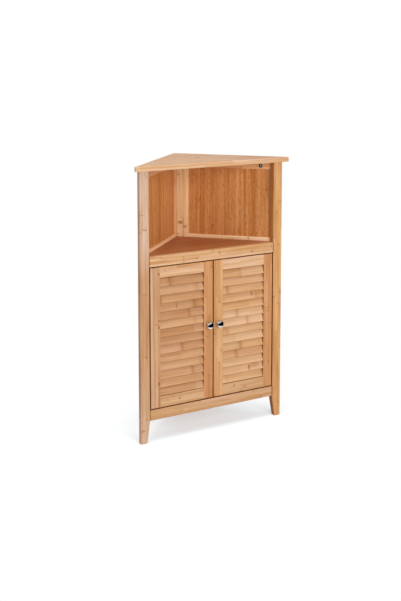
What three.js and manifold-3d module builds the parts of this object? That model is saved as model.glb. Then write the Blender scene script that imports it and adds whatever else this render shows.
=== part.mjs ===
// A bamboo corner cupboard: an open niche above two louvred doors, standing in a right-angled corner.
// Millimetres, +Z up, the front faces -Y. The origin is on the floor, midway between the knobs' fronts
// and the corner's apex.

import * as THREE from 'three';
import { mergeVertices } from 'three/addons/utils/BufferGeometryUtils.js';
import Module from 'manifold-3d';

const wasm = await Module();
wasm.setup();

// Overall size. The plan is half a square, so its depth follows from its width and its cut-off tips.
const overallWidth = 580;
const overallHeight = 920;
const tipFlat = 10;

// Top plate
const topThickness = 16;
const topEdgeRadius = 2;
const sideOverhang = 18;

// Front posts, which run down as the front legs
const postWidth = 34;
const postDepth = 24;
const postOuterDepth = 15;
const postEdgeRadius = 3;
const legHeight = 74.5;
const footInnerTaper = 10;
const footBackTaper = 6;
const footChamfer = 2.5;

// Front rails and their stub tenons
const apronHeight = 36;
const apronSetback = 2;
const middleRailHeight = 34.5;
const frontSetback = 1;
const nicheHeight = 280;
const tenonLength = 12;
const tenonThickness = 7;
const tenonShoulder = 5;

// Side walls
const wallThickness = 14;
const leftStileFaceWidth = 5;
const rightStileFaceWidth = 43;
const topSideRailHeight = 29;
const sideRailHeight = 30;
const sideRailReveal = 12;
const panelThickness = 4;
const panelLip = 3;
const panelTongue = 5;

// Shelves, with a tongue along the lower part of their edges
const shelfThickness = 14;
const shelfTongue = 8;
const shelfHousing = 3;

// Doors
const doorGap = 3.2;
const doorThickness = 18;
const doorEdgeRadius = 2;
const doorStileWidth = 35;
const doorTopRailHeight = 35;
const doorBottomRailHeight = 38;

// Louvre slats: their front and back edges stop short of the door's faces
const slatCount = 14;
const slatThickness = 6;
const slatOverlap = 3.6;
const slatRecess = 1.4;
const slatHousing = 6;
const louvreMargin = 0.4;

// Pivot pins
const pinRadius = 3;
const pinInDoor = 20;
const pinInRail = 12;
const pivotInset = 9;
const pivotSetback = 7;
const runningClearance = 0.06;

// Knobs
const knobRadius = 12.5;
const knobDepth = 23;
const knobHeadDepth = 16;
const knobNeckRadius = 5;
const knobBaseRadius = 7.5;
const knobBaseThickness = 2;
const knobAboveDoorCentre = 19;

// Magnetic catch, an angle piece on the back of the front middle rail
const catchWidth = 46;
const catchDepth = 13;
const catchDrop = 12;
const catchBodyRise = 3;
const catchPlateHeight = 15;
const catchPlateThickness = 3;
const catchGap = 0.5;

// Fit
const jointGap = 0.3;
const overrun = 10;

// Counts of facets
const cornerFacets = 3;
const pinFacets = 24;
const slatEdgeFacets = 5;
const knobFacets = 32;
const knobArcFacets = 10;

// Plan: places worked out from the sizes above
const overallDepth = overallWidth / 2 + tipFlat;
const frontOverhang = tipFlat + sideOverhang - postOuterDepth;
const knobProud = Math.max(0, knobDepth - frontOverhang - frontSetback);
const apexY = (overallDepth + knobProud) / 2;
const topFrontY = apexY - overallDepth;
const frontY = topFrontY + frontOverhang;
const postOuterX = overallWidth / 2 - sideOverhang;
const postInnerX = postOuterX - postWidth;
const postBackY = frontY + postDepth;
const doorFrontY = frontY + frontSetback;
const middleRailDepth = doorThickness + catchGap;
const middleRailBackY = doorFrontY + middleRailDepth;
const apronFrontY = frontY + apronSetback;
const apronBackY = apronFrontY + doorThickness;
const wallFrontReach = (apexY - postBackY) * Math.SQRT2;
const leftStileReach = wallThickness + leftStileFaceWidth;
const rightStileReach = wallThickness + rightStileFaceWidth;

// Heights
const wallTop = overallHeight - topThickness;
const shelfTop = wallTop - nicheHeight;
const middleRailBottom = shelfTop - middleRailHeight;
const apronTop = legHeight + apronHeight;
const doorBottom = apronTop + doorGap;
const doorTop = middleRailBottom - doorGap;
const topRailBottom = wallTop - topSideRailHeight;
const middleRevealTop = shelfTop + sideRailReveal;
const bottomRevealTop = apronTop + sideRailReveal;
const louvreBottom = doorBottom + doorBottomRailHeight;
const louvreTop = doorTop - doorTopRailHeight;
const louvreRoom = louvreTop - louvreBottom - 2 * louvreMargin;
const slatPitch = (louvreRoom - slatOverlap) / slatCount;

// Door places, measured from the pivot axis towards the door's free edge as -X
const pivotX = postInnerX - doorGap - pivotInset;
const pivotY = doorFrontY + pivotSetback;
const freeEdgeX = doorGap / 2 - pivotX;
const hingeStileInnerX = pivotInset - doorStileWidth;
const meetingStileInnerX = freeEdgeX + doorStileWidth;
const doorBackY = doorThickness - pivotSetback;

const finishes = {
  top: { color: '#d9b18f', roughness: 0.42, metalness: 0 },
  frame: { color: '#dcb48c', roughness: 0.45, metalness: 0 },
  panel: { color: '#bf7a48', roughness: 0.5, metalness: 0 },
  shelf: { color: '#b9774d', roughness: 0.45, metalness: 0 },
  slat: { color: '#cf9f78', roughness: 0.45, metalness: 0 },
  chrome: { color: '#d8dadd', roughness: 0.08, metalness: 1 },
  steel: { color: '#9a9c9f', roughness: 0.35, metalness: 1 },
  plastic: { color: '#e9e6df', roughness: 0.5, metalness: 0 },
};

// Indexed positions only, with shared vertices merged.
function bare(geometry) {
  const copy = geometry.clone();
  copy.deleteAttribute('normal');
  copy.deleteAttribute('uv');
  return mergeVertices(copy);
}

function solidOf(geometry) {
  const merged = bare(geometry);
  const mesh = new wasm.Mesh({
    numProp: 3,
    vertProperties: new Float32Array(merged.attributes.position.array),
    triVerts: new Uint32Array(merged.index.array),
  });
  return new wasm.Manifold(mesh);
}

function geometryOf(solid) {
  const mesh = solid.getMesh();
  const geometry = new THREE.BufferGeometry();
  geometry.setAttribute('position', new THREE.BufferAttribute(mesh.vertProperties, 3));
  geometry.setIndex(new THREE.BufferAttribute(mesh.triVerts, 1));
  return geometry;
}

function cut(body, tools) {
  const rest = tools.reduce((solid, tool) => solid.subtract(solidOf(tool)), solidOf(body));
  return geometryOf(rest);
}

function join(body, others) {
  const whole = others.reduce((solid, other) => solid.add(solidOf(other)), solidOf(body));
  return geometryOf(whole);
}

function common(body, others) {
  const shared = others.reduce((solid, other) => solid.intersect(solidOf(other)), solidOf(body));
  return geometryOf(shared);
}

// The mirror image across the plane where the given axis is zero, with its faces still pointing out.
function mirrored(geometry, axis) {
  const image = bare(geometry);
  const flip = new THREE.Vector3(1, 1, 1);
  flip[axis] = -1;
  image.scale(flip.x, flip.y, flip.z);
  const index = image.index;
  for (let corner = 0; corner < index.count; corner += 3) {
    const first = index.getX(corner);
    index.setX(corner, index.getX(corner + 1));
    index.setX(corner + 1, first);
  }
  return image;
}

// A box from its lowest corner to its highest.
function block(low, high) {
  const size = high.map((value, axis) => value - low[axis]);
  const centre = high.map((value, axis) => (value + low[axis]) / 2);
  return new THREE.BoxGeometry(...size).translate(...centre);
}

// An upright prism over a plan outline.
function prism(outline, low, high) {
  const shape = outline instanceof THREE.Shape ? outline : new THREE.Shape(outline);
  const options = { depth: high - low, bevelEnabled: false, curveSegments: cornerFacets };
  return new THREE.ExtrudeGeometry(shape, options).translate(0, 0, low);
}

// A prism along X over an outline drawn in Y and Z.
function prismAlongX(outline, low, high) {
  return prism(outline, low, high).rotateX(Math.PI / 2).rotateZ(Math.PI / 2);
}

// A prism along Y over an outline drawn in X and Z.
function prismAlongY(outline, low, high) {
  return prism(outline, -high, -low).rotateX(Math.PI / 2);
}

function point(x, y) {
  return new THREE.Vector2(x, y);
}

// A rectangle in plan with all its corners rounded.
function roundedRectangle(lowX, lowY, highX, highY, radius) {
  const quarter = Math.PI / 2;
  const shape = new THREE.Shape();
  shape.absarc(lowX + radius, lowY + radius, radius, 2 * quarter, 3 * quarter);
  shape.absarc(highX - radius, lowY + radius, radius, 3 * quarter, 4 * quarter);
  shape.absarc(highX - radius, highY - radius, radius, 0, quarter);
  shape.absarc(lowX + radius, highY - radius, radius, quarter, 2 * quarter);
  shape.closePath();
  return shape;
}

function topPlate() {
  const tipX = overallWidth / 2;
  const tipBackY = topFrontY + tipFlat;
  const outline = new THREE.Shape([
    point(-tipX, topFrontY),
    point(tipX, topFrontY),
    point(tipX, tipBackY),
    point(0, apexY),
    point(-tipX, tipBackY),
  ]);
  const options = {
    depth: topThickness - 2 * topEdgeRadius,
    bevelThickness: topEdgeRadius,
    bevelSize: topEdgeRadius,
    bevelOffset: -topEdgeRadius,
    bevelSegments: cornerFacets,
  };
  return new THREE.ExtrudeGeometry(outline, options).translate(0, 0, wallTop + topEdgeRadius);
}

// A wall is drawn along +X from the corner's apex, with its outer face at Y = 0 and its inside at -Y.
function alongWall(reach, outerY, innerY, low, high) {
  const outline = [
    point(reach.start, outerY),
    point(reach.end + outerY, outerY),
    point(reach.end + innerY, innerY),
    point(reach.start, innerY),
  ];
  return prism(outline, low, high);
}

// Turns what is drawn on the right wall into the cupboard's own frame.
function fromRightWall(geometry) {
  return geometry.rotateZ(-Math.PI / 4).translate(0, apexY, 0);
}

// The thin board in its grooves, or with grow the space that its grooves need. The stile reach is
// how far the wall's rear stile comes along the wall from the apex.
function panelBoard(stileReach, grow) {
  const start = stileReach - panelTongue - grow;
  const middleY = -panelLip - panelThickness / 2;
  const end = wallFrontReach + middleY + panelTongue + grow;
  const low = bottomRevealTop - panelTongue - grow;
  const high = topRailBottom + panelTongue + grow;
  return block(
    [start, -panelLip - panelThickness - grow, low],
    [end, -panelLip + grow, high],
  );
}

// A shelf's outline between the posts, reaching the given depth into the side walls.
function shelfOutline(shelfFrontY, intoWall, grow) {
  const sideX = postInnerX - jointGap + grow;
  const stepY = postBackY + jointGap - grow;
  const wallSum = apexY - (wallThickness - intoWall - grow) * Math.SQRT2;
  return [
    point(-sideX, shelfFrontY),
    point(sideX, shelfFrontY),
    point(sideX, stepY),
    point(wallSum - stepY, stepY),
    point(0, wallSum),
    point(stepY - wallSum, stepY),
    point(-sideX, stepY),
  ];
}

// Only the tongue runs into the side walls, so the whole top face lies open between them.
function shelf(shelfFrontY, high) {
  const low = high - shelfThickness;
  const board = prism(shelfOutline(shelfFrontY, -jointGap, 0), low, high);
  const tongue = prism(shelfOutline(shelfFrontY, shelfHousing, 0), low, low + shelfTongue);
  return join(board, [tongue]);
}

// The housing of a shelf's tongue, in the frame of the right wall.
function shelfHousingCut(high) {
  const low = high - shelfThickness;
  const outline = shelfOutline(postBackY, shelfHousing, jointGap);
  const room = prism(outline, low - jointGap, low + shelfTongue + jointGap);
  return room.translate(0, -apexY, 0).rotateZ(Math.PI / 4);
}

function shelfHousingCuts() {
  return [shelfHousingCut(shelfTop), shelfHousingCut(apronTop)];
}

// The two rear stiles meet in a mitre at the corner and run down as the rear leg.
function rearStile(stileReach) {
  const mitre = jointGap * Math.SQRT1_2;
  const outline = [
    point(mitre, 0),
    point(stileReach, 0),
    point(stileReach, -wallThickness),
    point(wallThickness + mitre, -wallThickness),
  ];
  return cut(prism(outline, 0, wallTop), [panelBoard(stileReach, jointGap), ...shelfHousingCuts()]);
}

function sideRail(stileReach, outerY, low, high) {
  const reach = {
    start: stileReach + jointGap,
    end: wallFrontReach - jointGap * Math.SQRT2,
  };
  return alongWall(reach, outerY, -wallThickness, low, high);
}

function topSideRail(stileReach) {
  const rail = sideRail(stileReach, 0, topRailBottom, wallTop);
  return cut(rail, [panelBoard(stileReach, jointGap)]);
}

// The middle side rail lies on the inside of the panel, which runs past it.
function middleSideRail(stileReach) {
  const outerY = -panelLip - panelThickness - jointGap;
  const low = middleRevealTop - sideRailHeight;
  return cut(sideRail(stileReach, outerY, low, middleRevealTop), [shelfHousingCut(shelfTop)]);
}

function bottomSideRail(stileReach) {
  const rail = sideRail(stileReach, 0, bottomRevealTop - sideRailHeight, bottomRevealTop);
  return cut(rail, [panelBoard(stileReach, jointGap), shelfHousingCut(apronTop)]);
}

// A front rail between the posts, or with grow the space that its tenons need.
function frontRail(faceY, backY, low, high, grow) {
  const middleY = (faceY + backY) / 2;
  const reachX = postInnerX + tenonLength + grow;
  const halfTenon = tenonThickness / 2 + grow;
  const body = block([-postInnerX, faceY, low], [postInnerX, backY, high]);
  const tenons = block(
    [-reachX, middleY - halfTenon, low + tenonShoulder - grow],
    [reachX, middleY + halfTenon, high - tenonShoulder + grow],
  );
  return grow ? tenons : join(body, [tenons]);
}

function pinHole(low, high) {
  const radius = (pinRadius + runningClearance) / Math.cos(Math.PI / pinFacets);
  const hole = new THREE.CylinderGeometry(radius, radius, high - low, pinFacets);
  return hole.rotateX(Math.PI / 2).translate(0, 0, (low + high) / 2);
}

function pinHolePair(low, high) {
  return [-pivotX, pivotX].map((x) => pinHole(low, high).translate(x, pivotY, 0));
}

function middleRail(grow) {
  return frontRail(doorFrontY, middleRailBackY, middleRailBottom, shelfTop, grow);
}

function bottomRail(grow) {
  return frontRail(apronFrontY, apronBackY, legHeight, apronTop, grow);
}

function drilledMiddleRail() {
  const top = middleRailBottom + pinInRail + jointGap;
  return cut(middleRail(0), pinHolePair(middleRailBottom - overrun, top));
}

function drilledBottomRail() {
  const bottom = apronTop - pinInRail - jointGap;
  return cut(bottomRail(0), pinHolePair(bottom, apronTop + overrun));
}

// The right post in plan: rounded front edges, and a bevel that lies flat against the room's wall.
function postPlan() {
  const shape = new THREE.Shape();
  const radius = postEdgeRadius;
  shape.moveTo(postInnerX, postBackY);
  shape.absarc(postInnerX + radius, frontY + radius, radius, Math.PI, 1.5 * Math.PI);
  shape.absarc(postOuterX - radius, frontY + radius, radius, 1.5 * Math.PI, 2 * Math.PI);
  shape.lineTo(postOuterX, frontY + postOuterDepth);
  shape.lineTo(postOuterX - postDepth + postOuterDepth, postBackY);
  shape.closePath();
  return shape;
}

// A leg's outline seen from one side: straight, tapered below the apron, with its foot's edges cut off.
function legOutline(straightX, taperedX, taper) {
  const inward = Math.sign(straightX - taperedX);
  const footX = taperedX + inward * taper;
  return [
    point(straightX, footChamfer),
    point(straightX, wallTop),
    point(taperedX, wallTop),
    point(taperedX, legHeight),
    point(footX, footChamfer),
    point(footX + inward * footChamfer, 0),
    point(straightX - inward * footChamfer, 0),
  ];
}

function frontPost() {
  const plan = prism(postPlan(), 0, wallTop);
  const front = prismAlongY(
    legOutline(postOuterX, postInnerX, footInnerTaper),
    frontY - overrun,
    postBackY + overrun,
  );
  const side = prismAlongX(
    legOutline(frontY, postBackY, footBackTaper),
    postInnerX - overrun,
    postOuterX + overrun,
  );
  const groove = fromRightWall(panelBoard(rightStileReach, jointGap));
  return cut(common(plan, [front, side]), [groove, middleRail(jointGap), bottomRail(jointGap)]);
}

// The slat's round-edged section leans from its low front edge to its high back edge.
function slatSection(grow) {
  const halfRun = (doorThickness - 2 * slatRecess - slatThickness) / 2;
  const halfRise = (slatPitch + slatOverlap - slatThickness) / 2;
  const radius = slatThickness / 2 + grow;
  const lean = Math.atan2(halfRise, halfRun);
  const quarter = Math.PI / 2;
  const shape = new THREE.Shape();
  shape.absarc(halfRun, halfRise, radius, lean - quarter, lean + quarter);
  shape.absarc(-halfRun, -halfRise, radius, lean + quarter, lean + 3 * quarter);
  shape.closePath();
  return shape;
}

// A slat along X, centred on its section, or with grow the space that its housings need.
function slat(grow) {
  const low = meetingStileInnerX - slatHousing + jointGap - grow;
  const high = hingeStileInnerX + slatHousing - jointGap + grow;
  const points = slatSection(grow).getPoints(slatEdgeFacets);
  return prismAlongX(points, low, high);
}

function slatHeight(number) {
  const firstHeight = louvreTop - louvreMargin - (slatPitch + slatOverlap) / 2;
  return firstHeight - number * slatPitch;
}

function slatMiddleY() {
  return (doorBackY - pivotSetback) / 2;
}

function slatHousings() {
  const numbers = [...Array(slatCount).keys()];
  return numbers.map((number) => slat(jointGap).translate(0, slatMiddleY(), slatHeight(number)));
}

// A rail of the door with a stub tenon at each end, or with grow the space that the tenons need.
function doorRail(low, high, grow) {
  const middleY = slatMiddleY();
  const halfTenon = tenonThickness / 2 + grow;
  const body = block(
    [meetingStileInnerX, -pivotSetback, low],
    [hingeStileInnerX, doorBackY, high],
  );
  const tenons = block(
    [meetingStileInnerX - tenonLength - grow, middleY - halfTenon, low + tenonShoulder - grow],
    [hingeStileInnerX + tenonLength + grow, middleY + halfTenon, high - tenonShoulder + grow],
  );
  return grow ? tenons : join(body, [tenons]);
}

function doorTopRail(grow) {
  return doorRail(louvreTop, doorTop, grow);
}

function doorBottomRail(grow) {
  return doorRail(doorBottom, louvreBottom, grow);
}

function doorStile(lowX, highX) {
  const plan = roundedRectangle(lowX, -pivotSetback, highX, doorBackY, doorEdgeRadius);
  const joints = [doorTopRail(jointGap), doorBottomRail(jointGap), ...slatHousings()];
  return cut(prism(plan, doorBottom, doorTop), joints);
}

function meetingStile() {
  return doorStile(freeEdgeX, meetingStileInnerX);
}

function hingeStile() {
  const holes = [
    pinHole(doorTop - pinInDoor - jointGap, doorTop + overrun),
    pinHole(doorBottom - overrun, doorBottom + pinInDoor + jointGap),
  ];
  return cut(doorStile(hingeStileInnerX, pivotInset), holes);
}

function pivotPin(low, high) {
  const pin = new THREE.CylinderGeometry(pinRadius, pinRadius, high - low, pinFacets);
  return pin.rotateX(Math.PI / 2).translate(0, 0, (low + high) / 2);
}

function upperPin() {
  return pivotPin(doorTop - pinInDoor, middleRailBottom + pinInRail);
}

function lowerPin() {
  return pivotPin(apronTop - pinInRail, doorBottom + pinInDoor);
}

// A turned knob: a thin base, a neck and a flattened round head, along -Y from the door's face.
function knob() {
  const headMiddle = knobDepth - knobHeadDepth / 2;
  const neckAngle = Math.asin(knobNeckRadius / knobRadius);
  const profile = [
    point(0, 0),
    point(knobBaseRadius, 0),
    point(knobBaseRadius, knobBaseThickness),
    point(knobNeckRadius, knobBaseThickness),
  ];
  for (let step = 0; step <= knobArcFacets; step += 1) {
    const angle = neckAngle + (step / knobArcFacets) * (Math.PI - neckAngle);
    const radius = step < knobArcFacets ? knobRadius * Math.sin(angle) : 0;
    profile.push(point(radius, headMiddle - (knobHeadDepth / 2) * Math.cos(angle)));
  }
  return new THREE.LatheGeometry(profile, knobFacets).rotateX(Math.PI);
}

function magneticCatch() {
  const outline = [
    point(0, -catchDrop),
    point(catchDepth, -catchDrop),
    point(catchDepth, catchBodyRise),
    point(catchPlateThickness, catchBodyRise),
    point(catchPlateThickness, catchPlateHeight),
    point(0, catchPlateHeight),
  ];
  const body = prismAlongX(outline, -catchWidth / 2, catchWidth / 2);
  return body.translate(0, middleRailBackY, middleRailBottom);
}

function piece(name, geometry, finish) {
  const mesh = new THREE.Mesh(geometry, new THREE.MeshStandardMaterial({ ...finish, flatShading: true }));
  mesh.name = name;
  return mesh;
}

function carcass() {
  const group = new THREE.Group();
  const post = frontPost();
  group.add(piece('top_plate', topPlate(), finishes.top));
  group.add(piece('right_front_post', post, finishes.frame));
  group.add(piece('left_front_post', mirrored(post, 'x'), finishes.frame));
  group.add(piece('front_middle_rail', drilledMiddleRail(), finishes.frame));
  group.add(piece('front_bottom_rail', drilledBottomRail(), finishes.frame));
  group.add(piece('middle_shelf', shelf(middleRailBackY, shelfTop), finishes.shelf));
  group.add(piece('bottom_shelf', shelf(apronBackY, apronTop), finishes.shelf));
  group.add(piece('magnetic_catch', magneticCatch(), finishes.plastic));
  return group;
}

// The right wall runs forwards from the apex. The left wall is its mirror image, but for the rear
// stile: the broad face of the rear leg lies on the right, and its narrow one on the left.
function wall(side) {
  const isRight = side === 'right';
  const stileReach = isRight ? rightStileReach : leftStileReach;
  const turned = (geometry) => (isRight ? geometry : mirrored(geometry, 'y'));
  const group = new THREE.Group();
  group.add(piece(`${side}_rear_stile`, turned(rearStile(stileReach)), finishes.frame));
  group.add(piece(`${side}_top_side_rail`, turned(topSideRail(stileReach)), finishes.frame));
  group.add(piece(`${side}_middle_side_rail`, turned(middleSideRail(stileReach)), finishes.frame));
  group.add(piece(`${side}_bottom_side_rail`, turned(bottomSideRail(stileReach)), finishes.frame));
  group.add(piece(`${side}_side_panel`, turned(panelBoard(stileReach, 0)), finishes.panel));
  group.position.set(0, apexY, 0);
  group.rotation.z = isRight ? -Math.PI / 4 : (-3 * Math.PI) / 4;
  return group;
}

// The right door is drawn from its pivot axis. The left door is its mirror image.
function door(side) {
  const isRight = side === 'right';
  const handed = (geometry) => (isRight ? geometry : mirrored(geometry, 'x'));
  const sign = isRight ? 1 : -1;
  const group = new THREE.Group();
  const add = (name, geometry, finish) => {
    const mesh = piece(`${side}_door_${name}`, handed(geometry), finish);
    group.add(mesh);
    return mesh;
  };
  add('hinge_stile', hingeStile(), finishes.frame);
  add('meeting_stile', meetingStile(), finishes.frame);
  add('top_rail', doorTopRail(0), finishes.frame);
  add('bottom_rail', doorBottomRail(0), finishes.frame);
  add('upper_pin', upperPin(), finishes.steel);
  add('lower_pin', lowerPin(), finishes.steel);
  const doorCentre = (doorBottom + doorTop) / 2;
  const knobX = sign * (freeEdgeX + doorStileWidth / 2);
  add('knob', knob(), finishes.chrome).position.set(knobX, -pivotSetback, doorCentre + knobAboveDoorCentre);
  for (let number = 0; number < slatCount; number += 1) {
    const label = String(number + 1).padStart(2, '0');
    add(`slat_${label}`, slat(0), finishes.slat).position.set(0, slatMiddleY(), slatHeight(number));
  }
  group.position.set(sign * pivotX, pivotY, 0);
  return group;
}

const cupboard = new THREE.Group();
cupboard.name = 'corner_cupboard';
cupboard.add(carcass(), wall('left'), wall('right'), door('left'), door('right'));

export default cupboard;
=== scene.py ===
"""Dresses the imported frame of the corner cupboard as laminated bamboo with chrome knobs, and sets its stage.

Metres, +Z up, the front faces -Y. Wooden pieces are eased boards: a plan or section with round corners,
carried along the board, and drawn in along a quarter circle at both ends.
"""

import math

import bpy
import numpy as np
from bpy.props import FloatProperty, FloatVectorProperty, PointerProperty
from bpy.types import Operator, Panel, PropertyGroup
from mathutils import Matrix, Vector


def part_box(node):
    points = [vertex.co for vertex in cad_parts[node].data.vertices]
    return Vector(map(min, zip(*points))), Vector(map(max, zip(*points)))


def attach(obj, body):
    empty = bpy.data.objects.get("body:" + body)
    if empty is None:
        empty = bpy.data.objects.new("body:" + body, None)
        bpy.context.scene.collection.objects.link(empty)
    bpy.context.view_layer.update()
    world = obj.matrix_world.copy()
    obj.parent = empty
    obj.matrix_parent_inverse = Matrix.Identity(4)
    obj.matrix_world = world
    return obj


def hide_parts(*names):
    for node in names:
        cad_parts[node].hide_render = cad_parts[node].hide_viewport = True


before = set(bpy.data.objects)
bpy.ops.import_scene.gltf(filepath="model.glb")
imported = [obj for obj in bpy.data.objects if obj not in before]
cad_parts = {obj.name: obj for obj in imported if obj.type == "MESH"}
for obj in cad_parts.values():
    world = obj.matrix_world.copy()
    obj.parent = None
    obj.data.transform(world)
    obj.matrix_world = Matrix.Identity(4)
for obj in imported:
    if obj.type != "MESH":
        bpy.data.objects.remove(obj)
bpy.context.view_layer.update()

bl_info = {
    "name": "Bamboo corner cupboard",
    "version": (1, 0, 0),
    "blender": (4, 5, 0),
    "location": "3D View > Sidebar > Cupboard",
    "description": "Finishes the frame of a louvred corner cupboard in bamboo and chrome",
    "category": "Object",
}


def box(node):
    """A node's lowest and highest corners, as arrays."""
    low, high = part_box(node)
    return np.array(low), np.array(high)


# Each side's direction along X
SIDES = {"left": -1, "right": 1}
SLATS = range(1, 15)
NODE_ORDER = sorted(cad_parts)

# Places that several pieces share
APEX = box("top_plate")[1][1]
POST_INNER, POST_FRONT, _ = box("right_front_post")[0]
POST_BACK = box("right_front_post")[1][1]
DOOR_FRONT = box("right_door_hinge_stile")[0][1]

# Sine and cosine of the walls' 45 degrees
DIAGONAL = math.sqrt(0.5)

# The rows are a piece's own three axes. A piece's section or plan lies in the first two.
UPRIGHT = np.array([[1, 0, 0], [0, 1, 0], [0, 0, 1]], float)
CROSSWISE = np.array([[0, 1, 0], [0, 0, 1], [1, 0, 0]], float)
FACING_BACK = np.array([[0, 0, 1], [1, 0, 0], [0, 1, 0]], float)
# Along each wall from the apex, then level out of the room on the right and into it on the left
ALONG_WALL = {
    side: np.array([[sign * DIAGONAL, -DIAGONAL, 0], [DIAGONAL, sign * DIAGONAL, 0], [0, 0, 1]])
    for side, sign in SIDES.items()
}

# How a board lies: its own axes, and which of them run along, across and through the wood
STANDING = (UPRIGHT, (2, 0, 1))
LYING = (CROSSWISE, (2, 1, 0))


def paint(code):
    """A colour written as six hexadecimal digits, as linear red, green and blue."""
    channels = [int(code[place : place + 2], 16) / 255 for place in (0, 2, 4)]
    return [c / 12.92 if c <= 0.04045 else ((c + 0.055) / 1.055) ** 2.4 for c in channels]


def length(name, description, default):
    return FloatProperty(name=name, description=description, default=default, unit="LENGTH", min=0)


def rotation(name, description, default):
    return FloatProperty(name=name, description=description, default=default, subtype="ANGLE")


def power(name, description, default):
    return FloatProperty(name=name, description=description, default=default, unit="POWER")


def colour(name, description, code):
    return FloatVectorProperty(
        name=name, description=description, default=paint(code), subtype="COLOR", size=3, min=0, max=1
    )


class CupboardSizes(PropertyGroup):
    """Sizes that the finished pieces have and the frame's boxes don't tell."""

    ease: length("Eased edges", "Radius of the sanded edges of rails and stiles", 0.0012)
    joint_ease: length("Joint edges", "Radius of the edges where two boards meet", 0.0004)
    door_edge: length("Door edges", "Radius round the outside of a door", 0.002)
    post_edge: length("Post edges", "Radius of the posts' front edges", 0.003)
    top_edge: length("Top edges", "Radius of the top plate's edges", 0.002)
    top_tip: length("Top tips", "Width of the flats at the top plate's two tips", 0.010)
    post_outer: length("Post side", "Depth of a post's outer side, in front of its bevel", 0.015)
    leg: length("Leg height", "Height of the legs below the apron", 0.0745)
    foot_taper: length("Foot taper", "How far a front leg's inner side comes in at the foot", 0.010)
    foot_back_taper: length("Foot back taper", "How far a front leg's back comes in at the foot", 0.006)
    foot_edge: length("Foot edges", "Radius round the soles of the front feet", 0.0025)
    wall: length("Wall thickness", "Thickness of the rear stiles and side rails", 0.014)
    wall_inset: length("Middle rail inset", "Depth of the middle side rails' outer face", 0.0073)
    left_stile: length("Left rear stile", "Width of the left rear stile along its wall", 0.019)
    right_stile: length("Right rear stile", "Width of the right rear stile along its wall", 0.057)
    slat: length("Slat thickness", "Thickness of the louvre slats", 0.006)
    slat_edge: length("Slat edges", "Radius of the slats' long edges", 0.0026)
    cam_lock: length("Cam lock", "Radius of the cam locks in the top side rails", 0.0075)
    cam_inset: length("Cam lock inset", "Distance of a cam lock from its rail's end", 0.0385)
    cam_drop: length("Cam lock drop", "Height of the rails' middle above the cam locks", 0.002)
    strike_thickness: length("Strike plate", "Thickness of the steel plates on the doors' backs", 0.0012)
    screw: length("Screw head", "Radius of the small screw heads", 0.003)


class CupboardColours(PropertyGroup):
    """Colours of the finishes."""

    left_post: colour("Left post", "Bamboo of the left post beside the niche", "dab89f")
    left_post_middle: colour("Left post, middle", "Bamboo of the left post beside the doors", "c9986e")
    right_post: colour("Right post", "Bamboo of the right post", "d69f69")
    middle_rail: colour("Middle rail", "Bamboo of the rail below the niche", "deaf85")
    apron: colour("Apron", "Bamboo of the rail below the doors", "d0a175")
    left_hinge: colour("Left hinge stile", "Bamboo of the left door's hinge stile", "cd9e77")
    left_meeting: colour("Left meeting stile", "Bamboo of the left door's meeting stile", "cd915e")
    right_meeting: colour("Right meeting stile", "Bamboo of the right door's meeting stile", "d6a06f")
    right_hinge: colour("Right hinge stile", "Bamboo of the right door's hinge stile", "ca8d5c")
    door_top_rails: colour("Door top rails", "Bamboo of the doors' top rails", "dfb28b")
    door_bottom_rails: colour("Door bottom rails", "Bamboo of the doors' bottom rails", "d0a174")
    left_slats: colour("Left slats", "Bamboo of the left door's slats", "ce9c71")
    right_slats: colour("Right slats", "Bamboo of the right door's slats", "daab7f")
    # The rear stiles and the middle side rails are paler wood; their colours are raised further as painted
    # light against the shade in the niche
    left_stile: colour("Left rear stile", "Bamboo of the left rear stile", "efbc88")
    right_stile: colour("Right rear stile", "Bamboo of the right rear stile", "f3cc9a")
    outer_side_rails: colour("Outer side rails", "Bamboo of the walls' top and bottom rails", "e3a875")
    left_shelf_rail: colour("Left shelf rail", "Bamboo of the left wall's middle rail", "f8c68e")
    right_shelf_rail: colour("Right shelf rail", "Bamboo of the right wall's middle rail", "ffdcae")
    top: colour("Top plate", "Bamboo of the top plate", "e7be9c")
    panel: colour("Side panels", "Bamboo of the side panels", "d39156")
    shelf: colour("Shelves", "Bamboo of the two shelves", "bc774a")
    chrome: colour("Chrome", "Plating of the knobs", "e6e8ea")
    steel: colour("Steel", "Strike plates and the catch's pole strips", "a9abae")
    pin: colour("Pivot pins", "Blackened steel of the pivot pins", "3d3a37")
    catch: colour("Catch", "Moulded body of the magnetic catch", "ece9e2")


class CupboardStage(PropertyGroup):
    """Camera and lights."""

    camera: FloatVectorProperty(
        name="Camera",
        description="Place of the camera",
        default=(-1.6682, -3.0534, 1.3287),
        subtype="TRANSLATION",
    )
    yaw: rotation("Yaw", "Turn of the camera from +Y towards +X", 0.54133)
    pitch: rotation("Pitch", "Tilt of the camera below the horizon", 0.12448)
    roll: rotation("Roll", "Roll of the camera", 0.00433)
    lens: FloatProperty(
        name="Lens", description="Focal length in millimetres", default=61.467, unit="CAMERA", min=1
    )
    shift: FloatVectorProperty(
        name="Shift", description="Lens shift of the photograph's framing", default=(-0.06, -0.225), size=2
    )
    key: power("Front light", "Power of the large front light", 77)
    side: power("Side light", "Power of the high left light", 6)
    above: power("Top light", "Power of the light above", 43)
    sky: FloatProperty(name="Sky", description="Strength of the light from all sides", default=0.28, min=0)


# Mesh code

# A point this far beside an arc keeps the flat face next to it flat.
MARGIN = 0.00025
LEAST_RADIUS = 0.00004
CORNER_STEPS = 5


def quarter_turn(vectors):
    """Vectors in a plane, turned anticlockwise by a right angle."""
    return np.stack([-vectors[..., 1], vectors[..., 0]], -1)


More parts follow.
